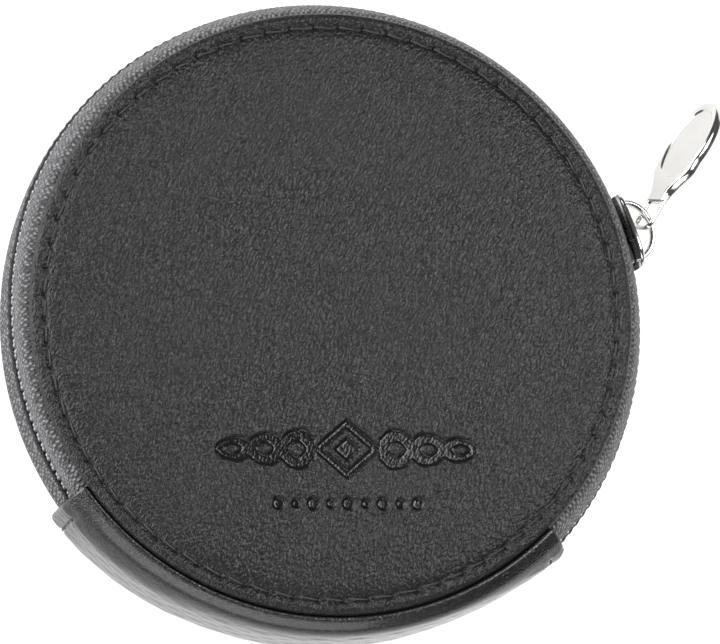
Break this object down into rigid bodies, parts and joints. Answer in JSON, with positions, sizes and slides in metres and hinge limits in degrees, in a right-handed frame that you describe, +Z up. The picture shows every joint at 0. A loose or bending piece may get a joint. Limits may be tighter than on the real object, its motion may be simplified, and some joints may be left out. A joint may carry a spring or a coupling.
{
  "type": "coin purse",
  "caption": "Round leather coin purse: two stitched discs, a coil zip round the wall, a leather gusset as the hinge, and a slider with an oval pull tab.",
  "frame": {"origin": "centre of the underside, where the purse rests", "axes": "+Z up out of the top disc, -Y towards the middle of the leather gusset, +X to the right seen from above with the gusset towards the viewer"},
  "size_m": [0.0981, 0.0896, 0.02],
  "materials": {
    "leather": "smooth semi-matt cowhide with a fine grain",
    "lining": "plain woven lining",
    "board": "plain fibre board",
    "zip_tape": "woven polyester tape",
    "zip_coil": "satin nylon coil",
    "thread": "twisted sewing thread",
    "nickel": "polished nickel plating"
  },
  "bodies": {
    "base": {"bottom_leather": "leather", "bottom_board": "board", "bottom_lining": "lining", "bottom_seam_thread": "thread", "zip_tape_lower": "zip_tape", "zip_coil_lower": "zip_coil", "hinge_gusset": "leather", "gusset_lining": "lining", "gusset_end_thread_left": "thread", "gusset_end_thread_right": "thread"},
    "lid": {"top_leather": "leather", "top_board": "board", "top_lining": "lining", "top_seam_thread": "thread", "zip_tape_upper": "zip_tape", "zip_coil_upper": "zip_coil"},
    "slider": {"slider_body": "nickel"},
    "pull": {"pull_tab": "nickel"}
  },
  "joints": [
    {"name": "lid_open", "type": "hinge", "parent": "base", "child": "lid", "pos_m": [0, -0.034, 0.01], "axis": [1, 0, 0], "range_deg": [0, 50], "deforming": ["hinge_gusset", "gusset_lining", "gusset_end_thread_left", "gusset_end_thread_right"]},
    {"name": "slider_travel", "type": "hinge", "parent": "base", "child": "slider", "pos_m": [0, 0, 0.01], "axis": [0, 0, 1], "range_deg": [-54, 190]},
    {"name": "pull_swing", "type": "hinge", "parent": "slider", "child": "pull", "pos_m": [0.04348, 0.01757, 0.01], "axis": [0, 0, 1], "range_deg": [-121, 39]}
  ]
}
